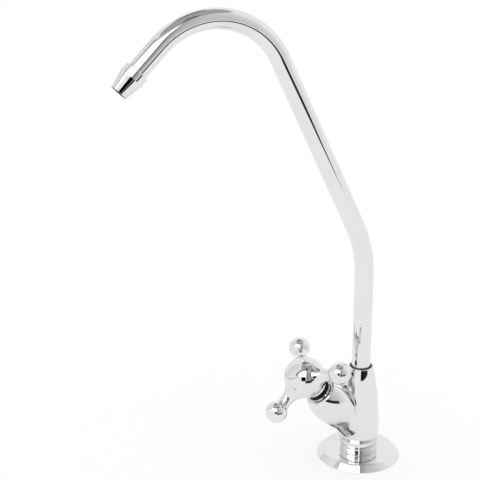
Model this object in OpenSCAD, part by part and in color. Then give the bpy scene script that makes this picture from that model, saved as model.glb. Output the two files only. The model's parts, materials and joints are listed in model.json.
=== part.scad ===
// Drinking water filter tap: bent tube spout, slanted quarter-turn valve and three-armed ball handle.
// Millimetres. The origin is the centre of the foot flange on the worktop, Z is up, the front is -Y.

/* [Spout] */
// Outside diameter of the spout tube
tube_d = 10; // [9:0.5:11]
// Wall of the spout tube
tube_wall = 0.8; // [0.6:0.1:1]
// Height above the worktop where the first bend starts
bend_start_h = 104.5; // [90:0.5:130]
// Centre-line radius of the first bend
lower_bend_r = 63.8; // [50:0.2:80]
// Angle of the first bend
lower_bend_angle = 25.8; // [15:0.2:35]
// Length of the slanted run between the bends
slant_len = 99.3; // [70:0.1:130]
// Centre-line radius of the arch
arch_r = 38.3; // [32:0.1:46]
// Angle that the arch turns through
arch_angle = 108.8; // [95:0.2:120]
// Straight run from the arch to the tip of the nozzle
outlet_run = 27; // [22:0.5:36]

/* [Nozzle] */
// Length of the nozzle
nozzle_len = 12.8; // [11:0.1:15]
// Diameter of the nozzle at its shoulder
nozzle_d = 12.3; // [12:0.1:13.5]
// Length of the straight band at the shoulder
nozzle_band = 4.2; // [3:0.1:5]
// Diameter of the nozzle at its tip
nozzle_tip_d = 8.7; // [8:0.1:9.4]
// Diameter of the opening at the tip
nozzle_mouth_d = 7.7; // [6.6:0.1:7.9]
// Depth of the socket that takes the tube
nozzle_socket = 6.5; // [5:0.1:8]

/* [Column] */
// Height of the column's rim above the worktop
column_h = 52.8; // [49:0.1:57]
// Greatest diameter of the column
column_d = 21.6; // [20.6:0.1:23]
// Height of the greatest diameter
column_belly_h = 14.4; // [14:0.1:17]
// Wall left around the bush at the rim
rim_wall = 0.65; // [0.5:0.05:1.2]
// Diameter of the foot band
foot_d = 20.4; // [19.4:0.1:20.6]
// Radius of the sweep from the foot band to the column
foot_sweep_r = 9.5; // [6:0.1:12]
// Depth of the threaded socket in the foot
foot_socket = 6; // [5:0.1:6.6]

/* [Valve boss] */
// Rise of the valve axis above the horizontal
valve_tilt = 47.9; // [44:0.1:52]
// Height where the valve axis crosses the column axis
valve_axis_h = 15.3; // [14:0.1:17]
// Greatest diameter of the boss
boss_d = 22.4; // [21.4:0.1:24]
// Distance of the greatest diameter along the valve axis
boss_belly = 27; // [25:0.1:29]
// Distance of the boss face along the valve axis
boss_len = 37; // [36:0.1:40]
// Diameter of the boss at its root
boss_root_d = 18.4; // [17.4:0.1:19]
// Radius of the outline behind the greatest diameter
boss_rear_r = 45; // [38:0.5:55]
// Radius of the hollow sweep near the root
boss_hollow_r = 20; // [15:0.5:26]
// Radius of the outline in front of the greatest diameter
boss_front_r = 20; // [18:0.5:26]

/* [Valve] */
// Diameter of the valve chamber
chamber_d = 14; // [13:0.1:14.6]
// Distance of the valve seat along the valve axis
seat_at = 20; // [19:0.1:21.5]
// Diameter of the water port through the seat
port_d = 5.2; // [4:0.1:5.4]
// Diameter of the passage from the chamber to the spout
passage_d = 3.2; // [2.6:0.1:3.4]
// Diameter of the ceramic discs
disc_d = 9; // [8.6:0.1:9.4]
// Thickness of each ceramic disc
disc_t = 1.9; // [1.6:0.1:2.2]
// Height of the rubber seat ring
seat_seal_h = 2.3; // [2:0.1:2.6]
// Wall of the housing around the discs
cage_wall = 1; // [0.8:0.1:1.2]
// Diameter of the spindle
stem_d = 6; // [5.6:0.1:6.4]
// Thickness of the spindle's foot that drives the disc
stem_foot_t = 1.9; // [1.6:0.1:2.2]
// Length of the housing's screwed flange
housing_flange = 4; // [3.4:0.1:4.4]
// Side of the square end that carries the handle
drive_side = 4.2; // [3.8:0.1:4.4]
// Length of the bonnet nut's thread
bonnet_thread = 3.8; // [3:0.1:4.4]
// Diameter of the neck that shows behind the handle
neck_d = 12.1; // [11.6:0.1:12.6]
// Diameter of the thin ring at the foot of the neck
neck_ring_d = 13.2; // [12.8:0.1:13.6]
// Thickness of the thin ring
neck_ring_t = 0.5; // [0.4:0.1:0.8]
// Length of the neck in front of the boss face
neck_len = 7.5; // [7:0.1:8.2]
// Length of the housing inside that neck
housing_neck = 3; // [2.4:0.1:4]
// Wall of the housing around the spindle
housing_wall = 1.1; // [0.9:0.1:1.3]
// Thickness of the clip on the spindle
clip_t = 0.7; // [0.6:0.1:0.9]
// Depth of the clip's groove
clip_bite = 0.7; // [0.5:0.1:0.9]

/* [Handle] */
// Distance from the boss face to the centre of the hub
hub_standoff = 13; // [12.6:0.1:14]
// Diameter of the round hub
hub_d = 22; // [21.2:0.1:23.6]
// Distance of the hub's flat rear behind its centre
hub_back = 7; // [6.2:0.1:7.6]
// Diameter of the cap's seam
cap_d = 13.6; // [12.6:0.1:14.4]
// Radius of the cap's dome
cap_dome_r = 14.6; // [11:0.1:20]
// Distance of the ball centres from the valve axis
arm_reach = 23.35; // [21:0.05:26]
// Diameter of the balls
ball_d = 11.6; // [10.5:0.1:12.6]
// Least diameter of the arms
arm_d = 6.5; // [5.6:0.1:7.2]
// Radius of the hollow sweep that runs from the hub along each arm
arm_sweep_r = 9.8; // [9:0.1:10.8]
// Depth that the sweep bites into the hub, which leaves a faint line there
arm_bite = 0.07; // [0.05:0.01:0.2]
// Radial gap between the neck and the hub's rear well
hub_well_gap = 0.6; // [0.4:0.1:0.8]
// Depth of the well past the end of the neck
hub_well_room = 1.2; // [0.8:0.1:1.4]
// Length of the spindle past the hub centre
drive_past = 2; // [1.4:0.1:2.4]
// Thread diameter of the handle screw
screw_d = 3; // [2.5:0.1:3.2]
// Diameter of the screw head
screw_head_d = 5.6; // [5:0.1:6]
// Height of the screw head
screw_head_h = 2.2; // [1.8:0.1:2.3]
// Thickness of the hub under the screw head
screw_web = 2; // [1.6:0.1:2.1]
// Length of the screw inside the spindle
screw_bite = 6; // [5:0.1:7]
// Width of the cap's lip outside its plug
cap_lip = 1.2; // [1:0.1:1.4]
// Length of the cap's plug
cap_plug_h = 1.9; // [1.6:0.1:2]
// Wall of the cap
cap_wall = 1; // [0.8:0.1:1.2]
// Number of arms
arm_count = 3; // [2:1:5]
// Angle of the first arm from the right-hand side, with the valve shut
arm_start = 34.5; // [0:0.5:120]

/* [Foot] */
// Diameter of the foot flange
flange_d = 45; // [42:0.5:52]
// Height of the flange's flat top above the worktop
flange_h = 3.4; // [2.8:0.1:4]
// Sheet thickness of the flange
flange_sheet = 0.9; // [0.7:0.1:1.1]
// Width of the sloped skirt outside the flange's flat top
flange_skirt = 3.1; // [2.8:0.1:4]
// Height of the upright rim below that skirt
flange_rim_h = 0.3; // [0.2:0.1:0.6]
// Margin between the rubber gasket and the skirt
gasket_margin = 0.5; // [0.2:0.1:3]
// Diameter of the round collar between flange and body
collar_d = 20.4; // [19.6:0.1:21]
// Height of that collar
collar_h = 3.5; // [3:0.1:4.2]
// Bevel of the collar's edges
collar_bevel = 0.35; // [0.2:0.05:0.5]
// Diameter of the groove between collar and body
groove_d = 18.7; // [17:0.1:19]
// Height of that groove
groove_h = 0.8; // [0.6:0.1:1]

/* [Shank and fixings] */
// Diameter of the threaded shank
shank_d = 11.1; // [10.6:0.1:11.6]
// Length of the shank below the worktop
shank_len = 52; // [46:0.5:70]
// Bore of the shank
shank_bore = 6; // [5:0.1:6]
// Outside diameter of the water tube that the inlet takes
inlet_tube_d = 6.35; // [6:0.05:6.4]
// Depth of the socket for the water tube
inlet_socket = 12; // [10:0.5:14]
// Thickness of the worktop that the tap is clamped to
worktop_t = 20; // [10:0.5:24]
// Diameter of the locating washer
locator_d = 28; // [24:0.5:34]
// Thickness of the locating washer
locator_t = 3; // [2.4:0.1:4]
// Wall of the locating washer's spigot, which centres the shank in the worktop
locator_wall = 1.1; // [0.9:0.1:1.5]
// Height of that spigot
locator_spigot_h = 2; // [1.5:0.1:3]
// Diameter over the teeth of the lock washer
lock_d = 20; // [18:0.1:22]
// Thickness of the lock washer
lock_t = 1; // [0.8:0.1:1.2]
// Length of the lock washer's teeth
lock_tooth = 2.2; // [1.8:0.1:2.6]
// Number of teeth on the lock washer
lock_teeth = 12; // [8:1:16]
// Width across the flats of the mounting nut
nut_flats = 17; // [16:0.1:19]
// Height of the mounting nut
nut_h = 7; // [6:0.1:8]
// Width across the flats of the inlet nut
inlet_nut_flats = 16; // [15:0.1:18]
// Height of the inlet nut
inlet_nut_h = 13; // [12:0.1:15]
// End wall of the inlet nut
inlet_nut_end = 3; // [2.6:0.1:3.6]
// Wall of the compression sleeve
ferrule_wall = 1.2; // [1:0.1:1.4]
// Length of the compression sleeve
ferrule_h = 4.4; // [4:0.1:5]
// Length of its nose inside the shank
ferrule_sink = 2.4; // [2:0.1:2.8]
// Wall of the nose at its end
ferrule_nose = 0.35; // [0.3:0.05:0.5]

/* [Fits] */
// Radial gap where one piece turns in another
running_gap = 0.08; // [0.05:0.01:0.1]
// Gap between pieces that are screwed or pressed together
seat_gap = 0.03; // [0.02:0.01:0.05]
// Radial gap around the shank where it passes through a plain hole
hole_gap = 0.3; // [0.2:0.05:0.5]
// Gap left along an axis so that turning pieces don't rub
end_gap = 0.4; // [0.3:0.05:0.5]
// Wall of the black bush around the tube
bush_wall = 0.9; // [0.7:0.02:1.1]
// Height of the black bush
bush_h = 3.9; // [3:0.1:4.4]
// Wall of the brass spigot where it enters the tube
spigot_wall = 1.2; // [0.9:0.1:1.4]
// Length of the spigot inside the tube
spigot_neck_h = 8; // [6:0.5:12]
// Width of the lands beside the spigot's O-rings
oring_land = 1.2; // [1:0.1:1.4]
// Depth of the bush below the rim
bush_recess = 0.25; // [0.1:0.05:0.5]
// Section diameter of the O-rings on the spout
oring_section = 1.24; // [1.1:0.02:1.3]
// Section diameter of the O-rings in the valve
small_oring_section = 1; // [0.9:0.02:1.1]
// Thickness of the spout's split ring
snap_t = 0.8; // [0.7:0.05:0.9]
// Radial depth of the split ring's bite in the body
snap_bite = 0.45; // [0.35:0.05:0.5]
// Radial depth of the split ring's seat in the spigot
snap_seat = 0.9; // [0.7:0.1:1.1]
// Film of grease between the ceramic discs
disc_film = 0.03; // [0.02:0.01:0.05]
// Radial gap around the water tube in the inlet
inlet_gap = 0.05; // [0.03:0.01:0.1]
// Small clearance inside the valve and around the handle's screw
inner_gap = 0.2; // [0.15:0.05:0.3]

/* [Hidden] */
$fn = 96;
LONG_ARC_FN = 720;
CUT = 1;
// An O-ring's groove is half as wide again as the ring
GROOVE_FACTOR = 1.5;

CHROME = [0.86, 0.87, 0.88];
BRASS = [0.78, 0.62, 0.32];
STEEL = [0.66, 0.67, 0.69];
RUBBER = [0.06, 0.06, 0.065];
BLACK_PLASTIC = [0.08, 0.08, 0.085];
WHITE_PLASTIC = [0.9, 0.9, 0.88];
CERAMIC = [0.94, 0.93, 0.9];

// Foot stack, upwards from the worktop
collar_top = flange_h + collar_h;
foot_bottom = collar_top + groove_h;
foot_socket_top = foot_bottom + foot_socket;
foot_band_top = column_belly_h
    - sqrt(pow(foot_sweep_r, 2) - pow(foot_sweep_r - (column_d - foot_d) / 2, 2));

// Runs and bends of the tube join inside rings that are a hair thicker than its wall
joint_gap = 0.05;
joint_len = 0.3;
joint_proud = 0.005;

// Spout seat in the column
tube_r = tube_d / 2;
bush_bore_r = tube_r + running_gap;
bush_r = bush_bore_r + bush_wall;
socket_r = bush_r + seat_gap;
rim_r = socket_r + rim_wall;
rim_drop = column_d / 2 - rim_r;
rim_rise = column_h - column_belly_h;
taper_r = round(10 * (pow(rim_rise, 2) + pow(rim_drop, 2)) / (2 * rim_drop)) / 10;
bush_top = column_h - bush_recess;
spigot_top = bush_top - bush_h - end_gap;
spigot_r = socket_r - running_gap;
spigot_neck_r = tube_r - tube_wall - seat_gap;
spigot_bore_r = spigot_neck_r - spigot_wall;
snap_z = spigot_top - snap_t / 2 - 2 * end_gap;
snap_out_r = socket_r + snap_bite;
snap_in_r = spigot_r - snap_seat;
snap_gap_angle = 40;

// Valve chamber and the passage from it to the spout
chamber_r = chamber_d / 2;
passage_r = passage_d / 2;
passage_t = seat_at + seat_seal_h / 2 - inner_gap;
passage_off = chamber_r - passage_r;
passage_z = valve_axis_h + passage_t * sin(valve_tilt) + passage_off * cos(valve_tilt);
passage_y = passage_off * sin(valve_tilt) - passage_t * cos(valve_tilt);
spigot_bottom = passage_z + passage_r + end_gap;
socket_floor = passage_z - passage_r - end_gap;
oring_r = oring_section / 2;
oring_mid_r = spigot_r - oring_r + running_gap / 4;
oring_groove = oring_section * GROOVE_FACTOR;
oring_pitch = oring_groove + oring_land;
oring_first = spigot_bottom + oring_land + oring_groove / 2;

// Boss outline: belly, hollow sweep and root join where the two arcs touch
boss_arcs = boss_rear_r + boss_hollow_r;
boss_sweep_t = sqrt(pow(boss_arcs, 2) - pow(boss_arcs - (boss_d - boss_root_d) / 2, 2));
boss_root_end = boss_belly - boss_sweep_t;
boss_touch = boss_belly - boss_sweep_t * boss_rear_r / boss_arcs;

// Valve stack, outwards along the valve axis
disc_r = disc_d / 2;
cage_bore_r = disc_r + running_gap;
cage_r = cage_bore_r + cage_wall;
seat_seal_top = seat_at + seat_seal_h;
fixed_disc_top = seat_seal_top + disc_t;
moving_disc_bottom = fixed_disc_top + disc_film;
moving_disc_top = moving_disc_bottom + disc_t;
tongue_h = disc_t / 2;
tongue_w = 2;
tongue_len = disc_d - 2 * tongue_h;
stem_foot_top = moving_disc_top + stem_foot_t;
cage_bottom = seat_at + seat_seal_h / 2;
cage_top = stem_foot_top + running_gap;
bonnet_bottom = boss_len - bonnet_thread;
housing_flange_bottom = bonnet_bottom - housing_flange;
screwed_r = chamber_r - seat_gap;
housing_top = boss_len + housing_neck;
stem_r = stem_d / 2;
stem_bore_r = stem_r + running_gap;
housing_neck_r = stem_bore_r + housing_wall;
bonnet_bore_r = housing_neck_r + seat_gap;
neck_top = boss_len + neck_len;
small_oring_r = small_oring_section / 2;
small_groove = small_oring_section * GROOVE_FACTOR;
housing_oring_mid_r = screwed_r - small_oring_r;
housing_oring_t = bonnet_bottom - housing_flange / 2;
stem_oring_mid_r = stem_r - small_oring_r;
stem_oring_t = bonnet_bottom;
clip_bottom = housing_top + running_gap;
clip_groove_r = stem_r - clip_bite;
clip_r = bonnet_bore_r - end_gap;
clip_gap_angle = 70;

// Handle stack
hub_r = hub_d / 2;
hub_at = boss_len + hub_standoff;
hub_rear = hub_at - hub_back;
hub_well_r = neck_d / 2 + hub_well_gap;
hub_well_top = neck_top + hub_well_room;
drive_start = clip_bottom + clip_t + running_gap;
drive_end = hub_at + drive_past;
drive_socket = drive_side + 2 * seat_gap;
screw_r = screw_d / 2;
screw_seat = drive_end + screw_web;
screw_bottom = drive_end - screw_bite;
screw_head_r = screw_head_d / 2;
cap_r = cap_d / 2;
cap_seam = hub_at + sqrt(pow(hub_r, 2) - pow(cap_r, 2));
cap_plug_r = cap_r - cap_lip;
cap_dome_mid = cap_seam - sqrt(pow(cap_dome_r, 2) - pow(cap_r, 2));
arm_r = arm_d / 2;
// The sweep's arc all but touches the hub's sphere, and the arm starts just inside it
arm_sweep_reach = hub_r + arm_sweep_r - arm_bite;
arm_waist = sqrt(pow(arm_sweep_reach, 2) - pow(arm_r + arm_sweep_r, 2));
arm_root = arm_waist * hub_r / arm_sweep_reach;
ball_r = ball_d / 2;

// Fixings, downwards from the worktop
shank_r = shank_d / 2;
shank_hole_r = shank_r + hole_gap;
thread_r = shank_r + seat_gap;
gasket_h = flange_h - flange_sheet;
flange_flat_r = flange_d / 2 - flange_skirt;
flange_slope = atan2(flange_h - flange_rim_h, flange_skirt);
flange_hollow_r = flange_flat_r - flange_sheet * tan(flange_slope / 2);
gasket_r = flange_hollow_r - gasket_margin;
locator_spigot_r = shank_hole_r + locator_wall;
lock_top = -worktop_t - locator_t;
nut_top = lock_top - lock_t;
inlet_r = inlet_tube_d / 2 + inlet_gap;
ferrule_r = inlet_r + ferrule_wall;
ferrule_nose_r = inlet_r + ferrule_nose;
inlet_nut_bottom = -shank_len - (ferrule_h - ferrule_sink) - inlet_nut_end;

// Puts its children on the valve axis, with their own Z running out of the boss
module on_valve_axis(t = 0) {
    translate([0, 0, valve_axis_h])
        rotate([90 - valve_tilt, 0, 0])
            translate([0, 0, t])
                children();
}

// Carries its children past a bend that turns to the front
module past_bend(r, angle) {
    translate([0, -r, 0])
        rotate([angle, 0, 0])
            translate([0, r, 0])
                children();
}

// Puts its children at the end of the arch, with their own Z along the water
module at_outlet() {
    translate([0, 0, bend_start_h])
        past_bend(lower_bend_r, lower_bend_angle)
            translate([0, 0, slant_len])
                past_bend(arch_r, arch_angle)
                    children();
}

module turned_ring(r_in, r_out, bottom, top) {
    translate([0, 0, bottom])
        difference() {
            cylinder(r = r_out, h = top - bottom);
            translate([0, 0, -CUT])
                cylinder(r = r_in, h = top - bottom + 2 * CUT);
        }
}

module oring(mid_r, section_r, at) {
    translate([0, 0, at])
        rotate_extrude()
            translate([mid_r, 0])
                circle(r = section_r);
}

// A flat ring with a slot, as sprung onto a shaft
module split_ring(r_in, r_out, thickness, slot_angle) {
    rotate([0, 0, slot_angle / 2])
        rotate_extrude(angle = 360 - slot_angle)
            translate([r_in, 0])
                square([r_out - r_in, thickness]);
}

// A hexagon with its corners turned off at both ends
module hexagon(flats, h) {
    corner_r = flats / 2 / cos(30);
    bevel = (corner_r - flats / 2) / 2;
    intersection() {
        cylinder(r = corner_r, h = h, $fn = 6);
        rotate_extrude()
            polygon([[0, 0], [corner_r - 2 * bevel, 0], [corner_r, bevel], [corner_r, h - bevel],
                [corner_r - 2 * bevel, h], [0, h]]);
    }
}

module tube_section(spare = 0) {
    difference() {
        circle(r = tube_r + spare);
        circle(r = tube_r - tube_wall - spare);
    }
}

// A straight run that stops just short of the bends at its ends
module tube_straight(len) {
    translate([0, 0, joint_gap])
        linear_extrude(len - 2 * joint_gap)
            tube_section();
}

module tube_bend(r, angle) {
    translate([0, -r, 0])
        rotate([90, 0, 90])
            rotate_extrude(angle = angle)
                translate([r, 0])
                    tube_section();
}

// The ring that a run and a bend end in
module tube_joint() {
    translate([0, 0, -joint_len / 2])
        linear_extrude(joint_len)
            tube_section(joint_proud);
}

// Half outline of the column, from the foot band to the rim
module column_outline() {
    translate([0, foot_bottom])
        square([foot_d / 2, foot_band_top - foot_bottom]);
    intersection() {
        translate([0, foot_band_top])
            square([column_d, column_belly_h - foot_band_top]);
        translate([column_d / 2 - foot_sweep_r, column_belly_h])
            circle(r = foot_sweep_r);
    }
    intersection() {
        translate([0, column_belly_h])
            square([column_d, rim_rise]);
        translate([column_d / 2 - taper_r, column_belly_h])
            circle(r = taper_r, $fn = LONG_ARC_FN);
    }
}

// Half outline of the valve boss: root, hollow sweep, belly and nose
module boss_outline() {
    square([boss_root_d / 2, boss_root_end]);
    difference() {
        translate([0, boss_root_end])
            square([boss_d / 2, boss_touch - boss_root_end]);
        translate([boss_root_d / 2 + boss_hollow_r, boss_root_end])
            circle(r = boss_hollow_r, $fn = LONG_ARC_FN);
    }
    intersection() {
        translate([0, boss_touch])
            square([boss_d, boss_belly - boss_touch]);
        translate([boss_d / 2 - boss_rear_r, boss_belly])
            circle(r = boss_rear_r, $fn = LONG_ARC_FN);
    }
    intersection() {
        translate([0, boss_belly])
            square([boss_d, boss_len - boss_belly]);
        translate([boss_d / 2 - boss_front_r, boss_belly])
            circle(r = boss_front_r, $fn = LONG_ARC_FN);
    }
}

module body_bores() {
    // Threaded socket for the shank and the water way up to the valve axis
    translate([0, 0, foot_bottom - CUT])
        cylinder(r = thread_r, h = foot_socket + CUT);
    translate([0, 0, foot_socket_top - CUT])
        cylinder(r = port_d / 2 + inner_gap, h = valve_axis_h + port_d / 4 - foot_socket_top + CUT);
    // Valve chamber and the port through its seat
    on_valve_axis() cylinder(r = port_d / 2, h = seat_at + CUT);
    on_valve_axis(seat_at) cylinder(r = chamber_r, h = boss_len - seat_at + CUT);
    // Spout socket, the groove for its split ring and the passage from the chamber
    translate([0, 0, socket_floor])
        cylinder(r = socket_r, h = column_h - socket_floor + CUT);
    translate([0, 0, snap_z - snap_t / 2 - end_gap])
        cylinder(r = snap_out_r + inner_gap, h = snap_t + 2 * end_gap);
    translate([0, 0, passage_z])
        rotate([90, 0, 0])
            cylinder(r = passage_r, h = -passage_y);
}

module body() {
    color(CHROME)
        difference() {
            union() {
                rotate_extrude() column_outline();
                on_valve_axis() rotate_extrude() boss_outline();
            }
            body_bores();
        }
}

// A disc pressed from sheet: flat top, sloped skirt, rim standing on the worktop
module base_flange() {
    rim_r = flange_d / 2;
    hollow_foot_r = flange_hollow_r + gasket_h / tan(flange_slope);
    color(CHROME)
        rotate_extrude()
            polygon([[shank_hole_r, gasket_h], [flange_hollow_r, gasket_h], [hollow_foot_r, 0], [rim_r, 0],
                [rim_r, flange_rim_h], [flange_flat_r, flange_h], [shank_hole_r, flange_h]]);
}

module flange_gasket() {
    color(RUBBER)
        turned_ring(shank_hole_r, gasket_r, 0, gasket_h);
}

// Turned ring over the shank, which holds the body off the flange and leaves a groove below it
module spacer_collar() {
    collar_r = collar_d / 2;
    color(CHROME)
        rotate_extrude()
            polygon([[shank_hole_r, flange_h], [collar_r - collar_bevel, flange_h],
                [collar_r, flange_h + collar_bevel], [collar_r, collar_top - collar_bevel],
                [collar_r - collar_bevel, collar_top], [groove_d / 2, collar_top],
                [groove_d / 2, foot_bottom], [shank_hole_r, foot_bottom]]);
}

// Long threaded tube, screwed up into the body
module threaded_shank() {
    color(CHROME)
        difference() {
            translate([0, 0, -shank_len])
                cylinder(r = shank_r, h = shank_len + foot_socket_top - inner_gap);
            translate([0, 0, -shank_len - CUT])
                cylinder(r = shank_bore / 2, h = shank_len + foot_socket_top + CUT);
            translate([0, 0, -shank_len - CUT])
                cylinder(r = inlet_r, h = inlet_socket + CUT);
            translate([0, 0, -shank_len])
                rotate_extrude()
                    polygon([[0, -CUT], [ferrule_r + seat_gap, -CUT], [ferrule_r + seat_gap, 0],
                        [ferrule_nose_r + seat_gap, ferrule_sink], [0, ferrule_sink]]);
        }
}

module locating_washer() {
    color(BLACK_PLASTIC) {
        turned_ring(shank_hole_r, locator_d / 2, lock_top, -worktop_t);
        turned_ring(shank_hole_r, locator_spigot_r, -worktop_t, -worktop_t + locator_spigot_h);
    }
}

module lock_washer() {
    tooth_w = PI * lock_d / lock_teeth / 2;
    color(STEEL)
        translate([0, 0, nut_top])
            linear_extrude(lock_t)
                difference() {
                    union() {
                        circle(r = lock_d / 2 - lock_tooth);
                        for (i = [0 : lock_teeth - 1])
                            rotate(i * 360 / lock_teeth)
                                translate([lock_d / 2 - 2 * lock_tooth, -tooth_w / 2])
                                    square([2 * lock_tooth, tooth_w]);
                    }
                    circle(r = shank_hole_r);
                }
}

module mounting_nut() {
    color(BRASS)
        translate([0, 0, nut_top - nut_h])
            difference() {
                hexagon(nut_flats, nut_h);
                translate([0, 0, -CUT])
                    cylinder(r = thread_r, h = nut_h + 2 * CUT);
            }
}

module inlet_nut() {
    color(BRASS)
        translate([0, 0, inlet_nut_bottom])
            difference() {
                hexagon(inlet_nut_flats, inlet_nut_h);
                translate([0, 0, inlet_nut_end])
                    cylinder(r = thread_r, h = inlet_nut_h);
                translate([0, 0, -CUT])
                    cylinder(r = inlet_r, h = inlet_nut_end + 2 * CUT);
            }
}

module inlet_ferrule() {
    color(WHITE_PLASTIC)
        translate([0, 0, inlet_nut_bottom + inlet_nut_end])
            rotate_extrude()
                polygon([[inlet_r, 0], [ferrule_r, 0], [ferrule_r, ferrule_h - ferrule_sink],
                    [ferrule_nose_r, ferrule_h], [inlet_r, ferrule_h]]);
}

// Brass housing: slotted cage around the discs, screwed flange and neck around the spindle
module cartridge_housing() {
    window_w = disc_r;
    window_h = disc_t + stem_foot_t / 3;
    color(BRASS)
        on_valve_axis()
            difference() {
                rotate_extrude()
                    polygon([[0, cage_bottom], [cage_r, cage_bottom], [cage_r, housing_flange_bottom],
                        [screwed_r, housing_flange_bottom], [screwed_r, bonnet_bottom],
                        [housing_neck_r, bonnet_bottom], [housing_neck_r, housing_top], [0, housing_top]]);
                translate([0, 0, cage_bottom - CUT])
                    cylinder(r = cage_bore_r, h = cage_top - cage_bottom + CUT);
                translate([0, 0, cage_bottom])
                    cylinder(r = stem_bore_r, h = housing_top - cage_bottom + CUT);
                translate([-cage_r - CUT, -window_w / 2, fixed_disc_top])
                    cube([2 * cage_r + 2 * CUT, window_w, window_h]);
                turned_ring(housing_oring_mid_r - small_oring_r - seat_gap, chamber_d,
                    housing_oring_t - small_groove / 2, housing_oring_t + small_groove / 2);
            }
}

module housing_seal() {
    color(RUBBER)
        on_valve_axis() oring(housing_oring_mid_r, small_oring_r, housing_oring_t);
}

// Round chromed nut that holds the housing down; its neck shows behind the handle
module bonnet_nut() {
    color(CHROME)
        on_valve_axis()
            difference() {
                rotate_extrude()
                    polygon([[0, bonnet_bottom], [screwed_r, bonnet_bottom], [screwed_r, boss_len],
                        [neck_ring_d / 2, boss_len], [neck_ring_d / 2, boss_len + neck_ring_t],
                        [neck_d / 2, boss_len + neck_ring_t], [neck_d / 2, neck_top], [0, neck_top]]);
                translate([0, 0, bonnet_bottom - CUT])
                    cylinder(r = bonnet_bore_r, h = neck_top - bonnet_bottom + 2 * CUT);
            }
}

module seat_seal() {
    color(RUBBER)
        on_valve_axis() turned_ring(port_d / 2 + inner_gap, disc_r - inner_gap, seat_at, seat_seal_top);
}

// Two water openings on opposite sides of a disc
module disc_openings(turn) {
    inner_r = disc_r / 5;
    outer_r = disc_r - inner_r;
    half_angle = 36;
    for (side = [0, 180])
        rotate([0, 0, turn + side])
            rotate([0, 0, -half_angle])
                translate([0, 0, -CUT])
                    rotate_extrude(angle = 2 * half_angle)
                        translate([inner_r, 0])
                            square([outer_r - inner_r, disc_t + 2 * CUT]);
}

module fixed_disc() {
    color(CERAMIC)
        on_valve_axis(seat_seal_top)
            difference() {
                cylinder(r = disc_r, h = disc_t);
                disc_openings(0);
            }
}

module moving_disc() {
    color(CERAMIC)
        on_valve_axis(moving_disc_bottom)
            difference() {
                cylinder(r = disc_r, h = disc_t);
                disc_openings(90);
                translate([-disc_r - CUT, -tongue_w / 2 - seat_gap, disc_t - tongue_h - seat_gap])
                    cube([2 * disc_r + 2 * CUT, tongue_w + 2 * seat_gap, tongue_h + CUT]);
            }
}

// Spindle: tongue in the moving disc, foot, round shaft and the square that carries the handle
module valve_stem() {
    color(BRASS)
        on_valve_axis()
            difference() {
                union() {
                    translate([0, 0, moving_disc_top])
                        cylinder(r = disc_r, h = stem_foot_t);
                    translate([-tongue_len / 2, -tongue_w / 2, moving_disc_top - tongue_h])
                        cube([tongue_len, tongue_w, tongue_h + CUT]);
                    translate([0, 0, moving_disc_top])
                        cylinder(r = stem_r, h = drive_start - moving_disc_top);
                    translate([-drive_side / 2, -drive_side / 2, drive_start - CUT])
                        cube([drive_side, drive_side, drive_end - drive_start + CUT]);
                }
                turned_ring(stem_oring_mid_r - small_oring_r - seat_gap, chamber_d,
                    stem_oring_t - small_groove / 2, stem_oring_t + small_groove / 2);
                turned_ring(clip_groove_r, chamber_d,
                    clip_bottom - seat_gap, clip_bottom + clip_t + seat_gap);
                translate([0, 0, screw_bottom - CUT])
                    cylinder(r = screw_r + seat_gap, h = drive_end);
            }
}

module stem_oring() {
    color(RUBBER)
        on_valve_axis() oring(stem_oring_mid_r, small_oring_r, stem_oring_t);
}

module stem_clip() {
    color(STEEL)
        on_valve_axis(clip_bottom)
            split_ring(clip_groove_r + seat_gap, clip_r, clip_t, clip_gap_angle);
}

// One arm: a hollow-sided stalk with a ball on its end
module handle_arm() {
    rotate([0, 90, 0]) {
        rotate_extrude()
            difference() {
                translate([0, arm_root])
                    square([arm_sweep_r, arm_reach - arm_root]);
                translate([arm_r + arm_sweep_r, arm_waist])
                    circle(r = arm_sweep_r, $fn = LONG_ARC_FN);
            }
        translate([0, 0, arm_reach])
            sphere(r = ball_r);
    }
}

module handle() {
    color(CHROME)
        on_valve_axis()
            difference() {
                union() {
                    translate([0, 0, hub_at]) {
                        sphere(r = hub_r);
                        for (i = [0 : arm_count - 1])
                            rotate([0, 0, arm_start + i * 360 / arm_count])
                                handle_arm();
                    }
                }
                // Flat rear of the hub
                translate([0, 0, hub_rear - hub_r])
                    cylinder(r = hub_r, h = hub_r);
                // Front of the hub, which the cap closes
                translate([0, 0, cap_seam])
                    cylinder(r = cap_r + CUT, h = hub_r);
                translate([0, 0, cap_seam - cap_plug_h - end_gap])
                    cylinder(r = cap_plug_r + seat_gap, h = hub_r);
                // Screw seat and clearance hole
                translate([0, 0, screw_seat])
                    cylinder(r = screw_head_r + end_gap, h = hub_r);
                translate([0, 0, drive_end])
                    cylinder(r = screw_r + inner_gap, h = screw_seat - drive_end + CUT);
                // Square socket for the spindle and the well over the neck
                translate([-drive_socket / 2, -drive_socket / 2, hub_well_top - CUT])
                    cube([drive_socket, drive_socket, drive_end + inner_gap - hub_well_top + CUT]);
                translate([0, 0, hub_rear - CUT])
                    cylinder(r = hub_well_r, h = hub_well_top - hub_rear + CUT);
            }
}

// Domed cap with a plug that presses into the hub
module handle_cap() {
    color(CHROME)
        on_valve_axis()
            difference() {
                union() {
                    intersection() {
                        translate([0, 0, cap_dome_mid])
                            sphere(r = cap_dome_r);
                        translate([0, 0, cap_seam])
                            cylinder(r = cap_r, h = cap_dome_r);
                    }
                    translate([0, 0, cap_seam - cap_plug_h])
                        cylinder(r = cap_plug_r, h = cap_plug_h + cap_wall / 2);
                }
                translate([0, 0, cap_seam - cap_plug_h - CUT])
                    cylinder(r = cap_plug_r - cap_wall, h = cap_plug_h + CUT + cap_wall / 2);
            }
}

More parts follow.
